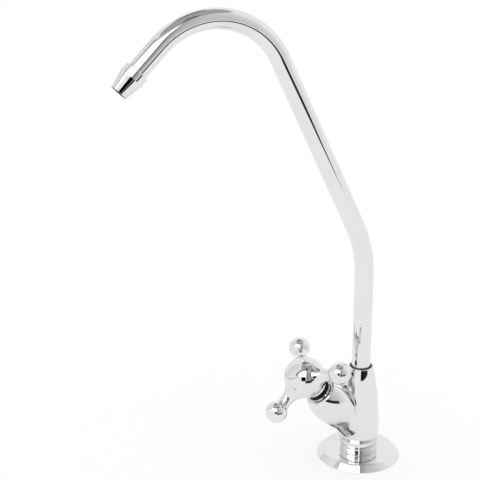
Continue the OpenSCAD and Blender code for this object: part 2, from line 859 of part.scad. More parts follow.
module handle_screw() {
    slot_w = 0.8;
    slot_depth = 1;
    color(STEEL)
        on_valve_axis()
            difference() {
                union() {
                    translate([0, 0, screw_bottom])
                        cylinder(r = screw_r, h = screw_seat - screw_bottom);
                    translate([0, 0, screw_seat])
                        cylinder(r = screw_head_r, h = screw_head_h);
                }
                translate([-screw_head_r - CUT, -slot_w / 2, screw_seat + screw_head_h - slot_depth])
                    cube([2 * screw_head_r + 2 * CUT, slot_w, slot_depth + CUT]);
            }
}

module spout_bush() {
    color(BLACK_PLASTIC)
        turned_ring(bush_bore_r, bush_r, bush_top - bush_h, bush_top);
}

// One bent tube: rise, first bend, slanted run, arch and outlet
module spout_tube() {
    color(CHROME) {
        translate([0, 0, spigot_top])
            tube_straight(bend_start_h - spigot_top);
        translate([0, 0, bend_start_h]) {
            tube_joint();
            tube_bend(lower_bend_r, lower_bend_angle);
            past_bend(lower_bend_r, lower_bend_angle) {
                tube_joint();
                tube_straight(slant_len);
                translate([0, 0, slant_len]) {
                    tube_joint();
                    tube_bend(arch_r, arch_angle);
                }
            }
        }
        at_outlet() {
            tube_joint();
            tube_straight(outlet_run - nozzle_len + nozzle_socket);
        }
    }
}

// Barbed tip: straight band at the shoulder, then a cone down to a thin lip
module spout_nozzle() {
    shoulder_bevel = 0.4;
    shoulder_r = nozzle_d / 2;
    socket_bore_r = tube_r + seat_gap;
    color(CHROME)
        at_outlet()
            translate([0, 0, outlet_run - nozzle_len])
                rotate_extrude()
                    polygon([[socket_bore_r, 0], [shoulder_r - shoulder_bevel, 0],
                        [shoulder_r, shoulder_bevel], [shoulder_r, nozzle_band],
                        [nozzle_tip_d / 2, nozzle_len], [nozzle_mouth_d / 2, nozzle_len],
                        [nozzle_mouth_d / 2, nozzle_socket], [socket_bore_r, nozzle_socket]]);
}

// Brass end of the spout: neck brazed into the tube, grooved barrel that turns in the column
module spout_spigot() {
    color(BRASS)
        difference() {
            union() {
                translate([0, 0, spigot_bottom])
                    cylinder(r = spigot_r, h = spigot_top - spigot_bottom);
                translate([0, 0, spigot_top - CUT])
                    cylinder(r = spigot_neck_r, h = spigot_neck_h + CUT);
            }
            translate([0, 0, spigot_bottom - CUT])
                cylinder(r = spigot_bore_r, h = spigot_top - spigot_bottom + spigot_neck_h + 2 * CUT);
            for (i = [0, 1])
                turned_ring(oring_mid_r - oring_r - seat_gap, column_d,
                    oring_first + i * oring_pitch - oring_groove / 2,
                    oring_first + i * oring_pitch + oring_groove / 2);
            turned_ring(snap_in_r - running_gap, column_d,
                snap_z - snap_t / 2 - running_gap, snap_z + snap_t / 2 + running_gap);
        }
}

module spout_orings() {
    color(RUBBER)
        for (i = [0, 1])
            oring(oring_mid_r, oring_r, oring_first + i * oring_pitch);
}

module spout_snap_ring() {
    color(STEEL)
        translate([0, 0, snap_z - snap_t / 2])
            split_ring(snap_in_r, snap_out_r, snap_t, snap_gap_angle);
}

body();
base_flange();
flange_gasket();
spacer_collar();
threaded_shank();
locating_washer();
lock_washer();
mounting_nut();
inlet_nut();
inlet_ferrule();
cartridge_housing();
housing_seal();
bonnet_nut();
seat_seal();
fixed_disc();
spout_bush();
handle();
handle_cap();
handle_screw();
valve_stem();
stem_oring();
stem_clip();
moving_disc();
spout_tube();
spout_nozzle();
spout_spigot();
spout_orings();
spout_snap_ring();
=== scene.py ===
import json
import math

import bpy
import numpy as np
from mathutils import Matrix, Vector
from mathutils.geometry import delaunay_2d_cdt


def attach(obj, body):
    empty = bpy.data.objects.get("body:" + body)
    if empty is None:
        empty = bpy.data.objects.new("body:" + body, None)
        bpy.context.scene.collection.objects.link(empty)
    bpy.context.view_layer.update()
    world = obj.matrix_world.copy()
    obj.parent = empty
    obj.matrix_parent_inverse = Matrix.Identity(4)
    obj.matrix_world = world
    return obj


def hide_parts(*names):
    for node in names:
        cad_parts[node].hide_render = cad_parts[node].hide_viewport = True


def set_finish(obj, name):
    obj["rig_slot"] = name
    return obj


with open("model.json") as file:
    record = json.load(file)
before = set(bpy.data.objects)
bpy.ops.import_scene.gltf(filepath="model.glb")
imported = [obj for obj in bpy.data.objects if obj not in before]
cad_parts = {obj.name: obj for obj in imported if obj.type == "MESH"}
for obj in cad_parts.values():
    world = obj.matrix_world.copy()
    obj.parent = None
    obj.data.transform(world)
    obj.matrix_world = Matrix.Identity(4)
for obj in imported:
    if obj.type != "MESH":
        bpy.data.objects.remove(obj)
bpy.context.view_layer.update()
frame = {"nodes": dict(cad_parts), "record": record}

# Lengths of the tap are in millimetres and angles in degrees, as the solids have them
MM = 0.001

# Spout: tube, bends and nozzle
TUBE_R = 5.0
TUBE_WALL = 0.8
SPIGOT_TOP = 48.25
BEND_START = 104.5
LOWER_BEND_R = 63.8
LOWER_BEND = 25.8
SLANT = 99.3
ARCH_R = 38.3
ARCH = 108.8
OUTLET_RUN = 27.0
NOZZLE_LEN = 12.8
NOZZLE_R = 6.15
NOZZLE_BAND = 4.2
NOZZLE_TIP_R = 4.35
NOZZLE_MOUTH_R = 3.85
NOZZLE_SOCKET = 6.5
NOZZLE_HEEL_EDGE = 0.35
NOZZLE_BAND_EDGE = 0.25
NOZZLE_TIP_EDGE = 0.12

# Column, its sockets and the ring at its top
COLUMN_TOP = 52.8
COLUMN_R = 10.8
BELLY_Z = 14.4
FOOT_R = 10.2
FOOT_SWEEP_R = 9.5
FOOT_HOLLOW_R = 6.0
FOOT_EDGE = 0.25
FOOT_SOCKET = 6.0
RIM_R = 6.66
RIM_H = 0.2
RIM_EDGE = 0.18
SOCKET_R = 6.01
SOCKET_FLOOR = 30.0
SOCKET_EDGE = 0.15
BUSH_R = 5.98
BUSH_BORE_R = 5.08
BUSH_TOP = 52.55
BUSH_H = 3.9
BUSH_EDGE = 0.12

# Boss on the slanted valve axis, and the neck in its mouth
TILT = 47.9
AXIS_Z = 15.3
BOSS_R = 11.2
BOSS_BELLY = 27.0
BOSS_LEN = 37.0
BOSS_ROOT_R = 9.2
BOSS_REAR_R = 45.0
BOSS_HOLLOW_R = 20.0
BOSS_FRONT_R = 20.0
BOSS_EDGE = 1.0
CROTCH_R = 1.4
CHAMBER_R = 7.0
CHAMBER_EDGE = 0.2
SEAT_AT = 20.0
NECK_R = 6.05
NECK_LEN = 7.5
NECK_TAIL = 3.8
NECK_EDGE = 0.3
NECK_BORE_R = 4.21
NECK_BORE_EDGE = 0.2
NECK_RING_R = 6.6
NECK_RING_T = 0.5
NECK_RING_EDGE = 0.18
# Raised band at the neck's foot, in the near-black rubber finish
NECK_BAND_R = 6.3
NECK_BAND_H = 2.4
NECK_BAND_EDGE = 0.2

# Handle and its cap
HUB_AT = 50.0
HUB_R = 11.0
HUB_BACK = 7.0
HUB_EDGE = 0.25
HUB_WELL_R = 6.65
HUB_WELL_TOP = 45.7
HUB_WELL_EDGE = 0.25
CAP_R = 6.8
CAP_DOME_R = 14.6
CAP_EDGE = 0.3
CAP_SEAM = 0.3
CAP_SEAM_DEPTH = 1.0
ARM_COUNT = 3
ARM_START = 34.5
ARM_REACH = 23.35
ARM_R = 3.25
ARM_BLEND = 38.3
ARM_FLARE_R = 12.0
BALL_R = 5.8
BALL_CREASE_R = 0.5

# Foot: flange, collar and threaded shank
FLANGE_R = 22.5
FLANGE_H = 3.4
FLANGE_SHEET = 0.9
FLANGE_SKIRT = 3.1
FLANGE_RIM_H = 0.3
FLANGE_RIM_EDGE = 0.25
FLANGE_CREASE_R = 1.2
FLANGE_HOLLOW_EDGE = 0.4
COLLAR_R = 10.2
COLLAR_H = 3.5
COLLAR_BEVEL = 0.35
COLLAR_EDGE = 0.1
COLLAR_FOOT_EDGE = 0.05
GROOVE_R = 9.35
GROOVE_H = 0.8
SHANK_R = 5.55
SHANK_LEN = 52.0
SHANK_BORE_R = 3.0
SHANK_TOP_GAP = 0.2
SHANK_EDGE = 0.2
INLET_R = 3.225
INLET_DEPTH = 12.0
INLET_EDGE = 0.3
THREAD_TOP = -1.5
THREAD_PITCH = 1.0
THREAD_DEPTH = 0.55
HOLE_GAP = 0.3
SEAT_GAP = 0.03

COLLAR_TOP = FLANGE_H + COLLAR_H
FOOT_BOTTOM = COLLAR_TOP + GROOVE_H

# Steps round a turned piece, an arm and the tube, and along other forms
TURN = 160
ARM_TURN = 128
TUBE_TURN = 128
CORNER_STEPS = 6
EDGE_STEPS = 8
CROTCH_STEPS = 8
BOSS_STEPS = 70
SECTOR_STEPS = 54
HUB_ROWS = 40
THREAD_STEPS = 10
CARD_ACROSS = 48
CARD_RISE = 24

# Search for the crotch along the boss: first stride, then halvings
STRIDE = 0.5
HALVINGS = 40

# Points closer than this are one point
WELD = 1e-4
# Rows of an outline closer than this in height count as one
SAME_HEIGHT = 1e-6
# Exactness of a flat fill, and a length that is as good as none
FILL_EXACT = 1e-7
TINY = 1e-12
# Room round the hole of a flat fill, in millimetres on the column and in radians on the hub
COLUMN_CLEAR = 0.18
HUB_CLEAR = 0.02

# Camera at the photograph's place: metres, degrees, and millimetres of lens
CAMERA_AT = (0.5091, -0.2997, 0.3356)
CAMERA_AZIMUTH = 65.78
CAMERA_ELEVATION = 19.82
CAMERA_ROLL = -0.10
CAMERA_LENS = 91.04
CAMERA_SENSOR = 36.0
CAMERA_NEAR = 0.01

# Looks: colours of the plating, the shine of rubber, and the part of its range that a noise fills
CHROME = (0.80, 0.80, 0.795)
CHROME_DIM = (0.76, 0.76, 0.755)
RUBBER_SHINE = 0.12
NOISE_LOW = 0.35
NOISE_HIGH = 0.65
# Half the floor's width in metres, and the share of its look that is plain white
FLOOR_REACH = 4.0
FLOOR_GLOW = 0.6
WHITE = (1, 1, 1, 1)


def add_object(name, data):
    made = bpy.data.objects.new(name, data)
    bpy.context.scene.collection.objects.link(made)
    return made


# Faces that carry their own corner normals, welded where they meet
class Skin:
    def __init__(self):
        self.points = []
        self.normals = []
        self.faces = []
        self.count = 0

    def add(self, points, normals, faces):
        points = np.asarray(points, float).reshape(-1, 3)
        normals = np.asarray(normals, float).reshape(-1, 3)
        self.points.append(points)
        self.normals.append(normals)
        for face in faces:
            self.faces.append([i + self.count for i in face])
        self.count += len(points)

    # A net of rows and columns, closed round its columns
    def add_net(self, points, normals):
        rows, columns = points.shape[:2]
        faces = []
        for i in range(0, (rows - 1) * columns, columns):
            for j in range(columns):
                k = (j + 1) % columns
                faces.append([i + j, i + k, i + columns + k, i + columns + j])
        self.add(points, normals, faces)

    def build(self, name, body, slot, *replaced):
        points = np.concatenate(self.points)
        normals = np.concatenate(self.normals)
        normals /= np.linalg.norm(normals, axis=1)[:, None]
        keys = np.round(points / WELD).astype(np.int64)
        kept, index = np.unique(keys, axis=0, return_index=True, return_inverse=True)[1:]
        index = index.reshape(-1)
        faces = []
        corner_normals = []
        for face in self.faces:
            corners = []
            for i in face:
                if not corners or (index[i] != index[corners[-1]] and index[i] != index[corners[0]]):
                    corners.append(i)
            if len(corners) < 3:
                continue
            a, b, c = (points[i] for i in corners[:3])
            if np.dot(np.cross(b - a, c - a), normals[corners].sum(axis=0)) < 0:
                corners.reverse()
            faces.append([int(index[i]) for i in corners])
            corner_normals.extend(normals[i] for i in corners)
        mesh = bpy.data.meshes.new(name)
        mesh.from_pydata([tuple(p) for p in points[kept] * MM], [], faces)
        mesh.polygons.foreach_set("use_smooth", [True] * len(mesh.polygons))
        mesh.normals_split_custom_set([tuple(n) for n in corner_normals])
        mesh.update()
        piece = add_object(name, mesh)
        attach(piece, body)
        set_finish(piece, slot)
        if replaced:
            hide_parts(*replaced)
        return piece


# Outlines are rows of (radius, height, radial normal, axial normal), each tangent run a list of its own
def line(start, end, steps=1):
    (r0, z0), (r1, z1) = start, end
    length = math.hypot(r1 - r0, z1 - z0)
    normal = ((z1 - z0) / length, -(r1 - r0) / length)
    rows = []
    for i in range(steps + 1):
        s = i / steps
        rows.append((r0 + s * (r1 - r0), z0 + s * (z1 - z0), *normal))
    return rows


def arc(centre, radius, start, end, steps=EDGE_STEPS, hollow=False):
    rows = []
    sign = -1 if hollow else 1
    for i in range(steps + 1):
        angle = math.radians(start + (end - start) * i / steps)
        c, s = math.cos(angle), math.sin(angle)
        rows.append((centre[0] + radius * c, centre[1] + radius * s, sign * c, sign * s))
    return rows


# A path of straight runs with its corners rounded: each point is (radius, height, rounding).
# It keeps the metal on its left, so a left turn is a solid corner and a right turn a hollow one.
def rounded(points):
    runs = []
    entry = points[0][:2]
    for before, corner, after in zip(points, points[1:], points[2:]):
        here = np.array(corner[:2], float)
        back = np.array(before[:2], float) - here
        on = np.array(after[:2], float) - here
        back /= np.linalg.norm(back)
        on /= np.linalg.norm(on)
        rounding = corner[2]
        if rounding <= 0:
            add_line(runs, entry, tuple(here))
            entry = tuple(here)
            continue
        half = math.acos(max(-1.0, min(1.0, float(back @ on)))) / 2
        reach = rounding / math.tan(half)
        first, second = here + back * reach, here + on * reach
        middle = (back + on) / np.linalg.norm(back + on)
        centre = here + middle * rounding / math.sin(half)
        add_line(runs, entry, tuple(first))
        sign = 1 if back[1] * on[0] > back[0] * on[1] else -1
        start, end = first - centre, second - centre
        sweep = math.atan2(start[0] * end[1] - start[1] * end[0], start @ end)
        rows = []
        for i in range(CORNER_STEPS + 1):
            c, s = math.cos(sweep * i / CORNER_STEPS), math.sin(sweep * i / CORNER_STEPS)
            d = np.array([start[0] * c - start[1] * s, start[0] * s + start[1] * c]) / rounding
            rows.append((*(centre + d * rounding), *(sign * d)))
        runs.append(rows)
        entry = tuple(second)
    add_line(runs, entry, points[-1][:2])
    return runs


# Adds a straight run, unless two roundings leave none
def add_line(runs, start, end):
    if math.dist(start, end) > WELD:
        runs.append(line(start, end))


# Where a turned piece sits: its own X, Y and Z, and its zero, in the tap's frame
class Seat:
    def __init__(self, zero=(0, 0, 0), x=(1, 0, 0), z=(0, 0, 1)):
        self.zero = np.array(zero, float)
        self.x = np.array(x, float)
        self.z = np.array(z, float) / np.linalg.norm(z)
        self.y = np.cross(self.z, self.x)

    def place(self, points):
        return self.zero + self.turn(points)

    def turn(self, points):
        points = np.asarray(points, float)
        return points[..., :1] * self.x + points[..., 1:2] * self.y + points[..., 2:] * self.z

    # A level direction at an angle in radians
    def level(self, angle):
        return self.turn(np.array([math.cos(angle), math.sin(angle), 0]))


def ring_angles(steps=TURN):
    return np.arange(steps) * 2 * math.pi / steps


def turned(skin, runs, seat, steps=TURN):
    angles = ring_angles(steps)
    c, s = np.cos(angles), np.sin(angles)
    for run in runs:
        rows = np.array(run, float)
        r, z, nr, nz = (rows[:, i:i + 1] for i in range(4))
        flat = np.zeros((1, steps))
        points = np.stack([r * c, r * s, z + flat], axis=-1)
        normals = np.stack([nr * c, nr * s, nz + flat], axis=-1)
        skin.add_net(seat.place(points), seat.turn(normals))


# A whole piece turned from one outline
def turned_piece(outline, seat, name, body, slot, node, steps=TURN):
    skin = Skin()
    turned(skin, rounded(outline), seat, steps)
    return skin.build(name, body, slot, node)


# Gives the second finish to the faces that a rule picks by their way along the axis and out from it
def second_finish(piece, seat, picked):
    for polygon in piece.data.polygons:
        reach = np.array(polygon.center) / MM - seat.zero
        along = reach @ seat.z
        out = np.linalg.norm(reach - seat.z * along)
        if picked(along, out):
            polygon.material_index = 1


# Fills a flat grid outside a hole, keeping the points of the hole and of the grid's border
def fill_round(across, up, hole, clear):
    def closed_edges(first, count):
        return [(first + i, first + (i + 1) % count) for i in range(count)]

    border = [(a, up[0]) for a in across[:-1]]
    border += [(across[-1], b) for b in up[:-1]]
    border += [(a, up[-1]) for a in across[:0:-1]]
    border += [(across[0], b) for b in up[:0:-1]]
    following = np.roll(hole, -1, axis=0)
    free = []
    for p in ((a, b) for a in across[1:-1] for b in up[1:-1]):
        if np.min(np.hypot(hole[:, 0] - p[0], hole[:, 1] - p[1])) < clear:
            continue
        if not inside_loop(p, hole, following):
            free.append(p)
    loose = [Vector(p) for p in [*border, *hole.tolist(), *free]]
    edges = closed_edges(0, len(border)) + closed_edges(len(border), len(hole))
    points, _, triangles, *_ = delaunay_2d_cdt(loose, edges, [], 0, FILL_EXACT)
    flat = np.array([tuple(p) for p in points])
    kept = [list(t) for t in triangles if not inside_loop(flat[list(t)].mean(axis=0), hole, following)]
    return flat, kept


def inside_loop(point, loop, following):
    crosses = (loop[:, 1] > point[1]) != (following[:, 1] > point[1])
    rise = following[:, 1] - loop[:, 1]
    rise = np.where(rise == 0, TINY, rise)
    at = loop[:, 0] + (point[1] - loop[:, 1]) * (following[:, 0] - loop[:, 0]) / rise
    return bool(np.sum(crosses & (point[0] < at)) % 2)


# The valve axis leaves the column to the front and up
tilt = math.radians(TILT)
UPRIGHT = Seat()
VALVE = Seat((0, 0, AXIS_Z), (1, 0, 0), (0, -math.cos(tilt), math.sin(tilt)))


# Column: foot band, hollow sweep, belly and long taper to the rim
def column_runs():
    belly = (COLUMN_R - FOOT_SWEEP_R, BELLY_Z)
    hollow_r = FOOT_R + FOOT_HOLLOW_R
    drop = math.sqrt((FOOT_SWEEP_R + FOOT_HOLLOW_R) ** 2 - (hollow_r - belly[0]) ** 2)
    hollow = (hollow_r, BELLY_Z - drop)
    touch = math.degrees(math.atan2(drop, hollow_r - belly[0]))
    rise, taper = COLUMN_TOP - BELLY_Z, COLUMN_R - RIM_R
    taper_r = (rise ** 2 + taper ** 2) / (2 * taper)
    long_arc = (COLUMN_R - taper_r, BELLY_Z)
    top = math.degrees(math.asin((rise - RIM_H) / taper_r))
    return [
        line((FOOT_R, FOOT_BOTTOM + FOOT_EDGE), (FOOT_R, hollow[1]), steps=6),
        arc(hollow, FOOT_HOLLOW_R, 180, 180 - touch, steps=6, hollow=True),
        arc(belly, FOOT_SWEEP_R, -touch, 0),
        arc(long_arc, taper_r, 0, top, steps=48),
    ]


# Nearest point of the column to a point in space, and the signed distance to it
def column_foot(outline, point):
    out = math.hypot(point[0], point[1])
    starts, steps = outline[:-1, :2], np.diff(outline[:, :2], axis=0)
    lengths = np.maximum((steps ** 2).sum(axis=1), TINY)
    share = np.clip(((np.array([out, point[2]]) - starts) * steps).sum(axis=1) / lengths, 0, 1)
    feet = starts + share[:, None] * steps
    gaps = np.hypot(out - feet[:, 0], point[2] - feet[:, 1])
    i = int(np.argmin(gaps))
    r, z = feet[i]
    side = (out - r) * outline[i, 2] + (point[2] - z) * outline[i, 3]
    return np.array([point[0] / out * r, point[1] / out * r, z]), math.copysign(gaps[i], side)


# Outline of the boss as radius and normal at a distance along its axis
def boss_outline(t):
    arcs = BOSS_REAR_R + BOSS_HOLLOW_R
    swell = BOSS_R - BOSS_ROOT_R
    reach = math.sqrt(arcs ** 2 - (arcs - swell) ** 2)
    root_end = BOSS_BELLY - reach
    touch = BOSS_BELLY - reach * BOSS_REAR_R / arcs
    if t <= root_end:
        return BOSS_ROOT_R, 1.0, 0.0
    if t <= touch:
        side = math.sqrt(BOSS_HOLLOW_R ** 2 - (t - root_end) ** 2)
        return BOSS_ROOT_R + BOSS_HOLLOW_R - side, side / BOSS_HOLLOW_R, -(t - root_end) / BOSS_HOLLOW_R
    radius = BOSS_REAR_R if t <= BOSS_BELLY else BOSS_FRONT_R
    side = math.sqrt(radius ** 2 - (t - BOSS_BELLY) ** 2)
    return BOSS_R - radius + side, side / radius, (t - BOSS_BELLY) / radius


def boss_point(t, angle):
    r, nr, nz = boss_outline(t)
    c, s = math.cos(angle), math.sin(angle)
    return VALVE.place(np.array([r * c, r * s, t])), VALVE.turn(np.array([nr * c, nr * s, nz]))


# A ball rolled along the crotch touches the boss and the column. At an angle round the boss, this is
# how far along the boss it touches, where it touches the column, and the strip of ball between them.
def roll_ball(outline, angle):
    def spare(t):
        point, normal = boss_point(t, angle)
        return column_foot(outline, point + CROTCH_R * normal)[1] - CROTCH_R

    high = BOSS_BELLY
    while spare(high) > 0:
        high -= STRIDE
    low, high = high, high + STRIDE
    for _ in range(HALVINGS):
        middle = (low + high) / 2
        if spare(middle) > 0:
            high = middle
        else:
            low = middle
    point, normal = boss_point(high, angle)
    ball = point + CROTCH_R * normal
    foot = column_foot(outline, ball)[0]
    start = -normal
    end = (foot - ball) / np.linalg.norm(foot - ball)
    between = math.acos(max(-1.0, min(1.0, float(start @ end))))
    ways = []
    for i in range(CROTCH_STEPS + 1):
        s = i / CROTCH_STEPS
        way = math.sin((1 - s) * between) * start + math.sin(s * between) * end
        ways.append(way / math.sin(between))
    ways = np.array(ways)
    return high, foot, ball + CROTCH_R * ways, -ways


# Boss from the crotch to its rounded front edge, and the valve chamber in it
def add_boss(skin, starts):
    edge_start = BOSS_LEN - BOSS_EDGE
    points = np.zeros((BOSS_STEPS + 1, TURN, 3))
    normals = np.zeros((BOSS_STEPS + 1, TURN, 3))
    for j, angle in enumerate(ring_angles()):
        for i in range(BOSS_STEPS + 1):
            t = starts[j] + (edge_start - starts[j]) * i / BOSS_STEPS
            points[i, j], normals[i, j] = boss_point(t, angle)
    skin.add_net(points, normals)
    r, nr, nz = boss_outline(edge_start)
    lean = math.atan2(nz, nr)
    edge_r = BOSS_EDGE / (1 - math.sin(lean))
    centre = (r - edge_r * nr, edge_start - edge_r * nz)
    face = centre[1] + edge_r
    mouth = [(centre[0], face, 0), (CHAMBER_R, face, CHAMBER_EDGE), (CHAMBER_R, SEAT_AT, 0), (0, SEAT_AT, 0)]
    turned(skin, [arc(centre, edge_r, math.degrees(lean), 90, steps=6), *rounded(mouth)], VALVE)


# Column with a hole for the crotch: it is unrolled, filled and rolled up again
def add_column(skin, outline, feet):
    hole = np.stack([np.arctan2(feet[:, 0], -feet[:, 1]) * COLUMN_R, feet[:, 2]], axis=1)
    rising = np.concatenate([[True], np.diff(outline[:, 1]) > SAME_HEIGHT])
    across = (np.arange(TURN + 1) / TURN * 2 - 1) * math.pi * COLUMN_R
    flat, triangles = fill_round(across, outline[rising, 1], hole, COLUMN_CLEAR)
    r, nr, nz = (np.interp(flat[:, 1], outline[:, 1], outline[:, i]) for i in (0, 2, 3))
    turn = flat[:, 0] / COLUMN_R
    points = np.stack([r * np.sin(turn), -r * np.cos(turn), flat[:, 1]], axis=1)
    normals = np.stack([nr * np.sin(turn), -nr * np.cos(turn), nz], axis=1)
    skin.add(points, normals, triangles)


def make_body():
    skin = Skin()
    outline = np.array([row for run in column_runs() for row in run])
    rolled = [roll_ball(outline, angle) for angle in ring_angles()]
    starts, feet, strip_points, strip_normals = (np.array(part) for part in zip(*rolled))
    skin.add_net(strip_points.transpose(1, 0, 2), strip_normals.transpose(1, 0, 2))
    add_boss(skin, starts)
    add_column(skin, outline, feet)

    # Rounded rim, spout socket, foot edge and shank socket
    back = Seat((0, 0, 0), (0, 1, 0))
    top_r, top_z = outline[-1, :2]
    rim = [(top_r, top_z, 0), (top_r, COLUMN_TOP, RIM_EDGE), (SOCKET_R, COLUMN_TOP, SOCKET_EDGE),
           (SOCKET_R, SOCKET_FLOOR, 0), (0, SOCKET_FLOOR, 0)]
    socket_r, socket_top = SHANK_R + SEAT_GAP, FOOT_BOTTOM + FOOT_SOCKET
    foot = [(0, socket_top, 0), (socket_r, socket_top, 0), (socket_r, FOOT_BOTTOM, 0),
            (FOOT_R, FOOT_BOTTOM, FOOT_EDGE), (FOOT_R, FOOT_BOTTOM + FOOT_EDGE, 0)]
    turned(skin, rounded(rim) + rounded(foot), back)
    return skin.build("tap_body", "tap", "body_chrome", "body")


def make_flange():
    flat_r = FLANGE_R - FLANGE_SKIRT
    slope = math.atan2(FLANGE_H - FLANGE_RIM_H, FLANGE_SKIRT)
    hole_r = SHANK_R + HOLE_GAP
    under = FLANGE_H - FLANGE_SHEET
    hollow_r = flat_r - FLANGE_SHEET * math.tan(slope / 2)
    hollow_foot_r = hollow_r + under / math.tan(slope)
    outline = [(FLANGE_R, 0, 0), (FLANGE_R, FLANGE_RIM_H, FLANGE_RIM_EDGE),
               (flat_r, FLANGE_H, FLANGE_CREASE_R), (hole_r, FLANGE_H, 0), (hole_r, under, 0),
               (hollow_r, under, FLANGE_HOLLOW_EDGE), (hollow_foot_r, 0, 0), (FLANGE_R, 0, 0)]
    return turned_piece(outline, UPRIGHT, "foot_flange", "tap", "body_chrome", "base_flange")


# Turned ring between flange and body, with the groove above it
def make_collar():
    hole_r = SHANK_R + HOLE_GAP
    bevel_r = COLLAR_R - COLLAR_BEVEL
    outline = [(hole_r, FLANGE_H, 0), (bevel_r, FLANGE_H, COLLAR_FOOT_EDGE),
               (COLLAR_R, FLANGE_H + COLLAR_BEVEL, COLLAR_EDGE),
               (COLLAR_R, COLLAR_TOP - COLLAR_BEVEL, COLLAR_EDGE), (bevel_r, COLLAR_TOP, COLLAR_EDGE),
               (GROOVE_R, COLLAR_TOP, COLLAR_EDGE), (GROOVE_R, FOOT_BOTTOM, 0), (hole_r, FOOT_BOTTOM, 0),
               (hole_r, FLANGE_H, 0)]
    return turned_piece(outline, UPRIGHT, "foot_collar", "tap", "body_chrome", "spacer_collar")


# The top of the shank is plain, and the long lower part has a helical thread that runs out at both ends
def make_shank():
    skin = Skin()
    top = FOOT_BOTTOM + FOOT_SOCKET - SHANK_TOP_GAP
    inlet_top = INLET_DEPTH - SHANK_LEN
    plain = [(SHANK_R, THREAD_TOP, 0), (SHANK_R, top, SHANK_EDGE), (SHANK_BORE_R, top, SHANK_EDGE),
             (SHANK_BORE_R, inlet_top, 0), (INLET_R, inlet_top, 0), (INLET_R, -SHANK_LEN, INLET_EDGE),
             (SHANK_R - THREAD_DEPTH, -SHANK_LEN, 0)]
    turned(skin, rounded(plain), UPRIGHT)
    rows = round((SHANK_LEN + THREAD_TOP) / THREAD_PITCH * THREAD_STEPS)
    z = np.linspace(-SHANK_LEN, THREAD_TOP, rows + 1)[:, None]
    angle = ring_angles()[None, :]
    start = np.clip((z + SHANK_LEN) / THREAD_PITCH, 0, 1)
    fade = np.minimum(start, np.clip((THREAD_TOP - z) / THREAD_PITCH, 0, 1))
    wave = (0.5 - 0.5 * np.cos(2 * math.pi * z / THREAD_PITCH - angle)) * fade
    r = SHANK_R - THREAD_DEPTH * (wave + (1 - start) * (1 - wave))
    slope = np.gradient(r, z[:, 0], axis=0)
    c, s = np.cos(angle), np.sin(angle)
    points = np.stack([r * c, r * s, z + 0 * angle], axis=-1)
    normals = np.stack([c + 0 * r, s + 0 * r, -slope], axis=-1)
    skin.add_net(points, normals)
    return skin.build("threaded_tail", "tap", "body_chrome", "threaded_shank")


# Neck between boss and handle, with a raised band at its foot in the near-black rubber finish
def make_bonnet():
    tail = BOSS_LEN - NECK_TAIL
    tail_r = CHAMBER_R - SEAT_GAP
    ring_top = BOSS_LEN + NECK_RING_T
    band_top = ring_top + NECK_BAND_H
    top = BOSS_LEN + NECK_LEN
    outline = [(NECK_BORE_R, tail, 0), (tail_r, tail, 0), (tail_r, BOSS_LEN, 0), (NECK_RING_R, BOSS_LEN, 0),
               (NECK_RING_R, ring_top, NECK_RING_EDGE), (NECK_BAND_R, ring_top, 0),
               (NECK_BAND_R, band_top, NECK_BAND_EDGE), (NECK_R, band_top, 0), (NECK_R, top, NECK_EDGE),
               (NECK_BORE_R, top, NECK_BORE_EDGE), (NECK_BORE_R, tail, 0)]
    neck = turned_piece(outline, VALVE, "valve_neck", "tap", "body_chrome", "bonnet_nut")

    # The faces of the raised band take the near-black rubber finish
    def on_dark_band(along, out):
        return ring_top < along < band_top + SEAT_GAP and out > NECK_R

    second_finish(neck, VALVE, on_dark_band)
    return neck


# An arm along its own axis: it sweeps out of the hub, narrows to a waist and flares into its ball
def arm_runs():
    blend = math.radians(ARM_BLEND)
    waist = (HUB_R - ARM_R) / (1 / math.cos(blend) - math.tan(blend))
    blend_r = waist * math.tan(blend) - ARM_R
    # The crease between flare and ball lies inside the flare's circle and outside the ball's
    flare = np.array([ARM_R + ARM_FLARE_R, waist])
    ball = np.array([0.0, ARM_REACH])
    gap = np.linalg.norm(ball - flare)
    to_flare, to_ball = ARM_FLARE_R - BALL_CREASE_R, BALL_R + BALL_CREASE_R
    along = (gap ** 2 + to_flare ** 2 - to_ball ** 2) / (2 * gap)
    off = math.sqrt(to_flare ** 2 - along ** 2)
    d = (ball - flare) / gap
    side = np.array([-d[1], d[0]])
    options = [flare + d * along + side * off * k for k in (1, -1)]
    crease = min((p for p in options if p[0] > 0), key=lambda p: p[1])
    flare_end = math.degrees(math.atan2(crease[1] - flare[1], flare[0] - crease[0]))
    ball_start = math.degrees(math.atan2(crease[0], ball[1] - crease[1]))
    return [
        arc((ARM_R + blend_r, waist), blend_r, -90 - ARM_BLEND, -180, steps=24, hollow=True),
        arc(flare, ARM_FLARE_R, 180, 180 - flare_end, steps=12, hollow=True),
        arc(crease, BALL_CREASE_R, 180 - flare_end, 90 + ball_start, steps=6, hollow=True),
        arc(ball, BALL_R, ball_start - 90, 90, steps=48),
    ]


# Rounds the hub's edge from a latitude in radians to flat, facing to the front or the rear
def sphere_edge(latitude, facing):
    centre_r = (HUB_R - HUB_EDGE) * math.cos(latitude)
    centre_z = HUB_AT + (HUB_R - HUB_EDGE) * math.sin(latitude)
    return arc((centre_r, centre_z), HUB_EDGE, math.degrees(latitude), 90 * facing)


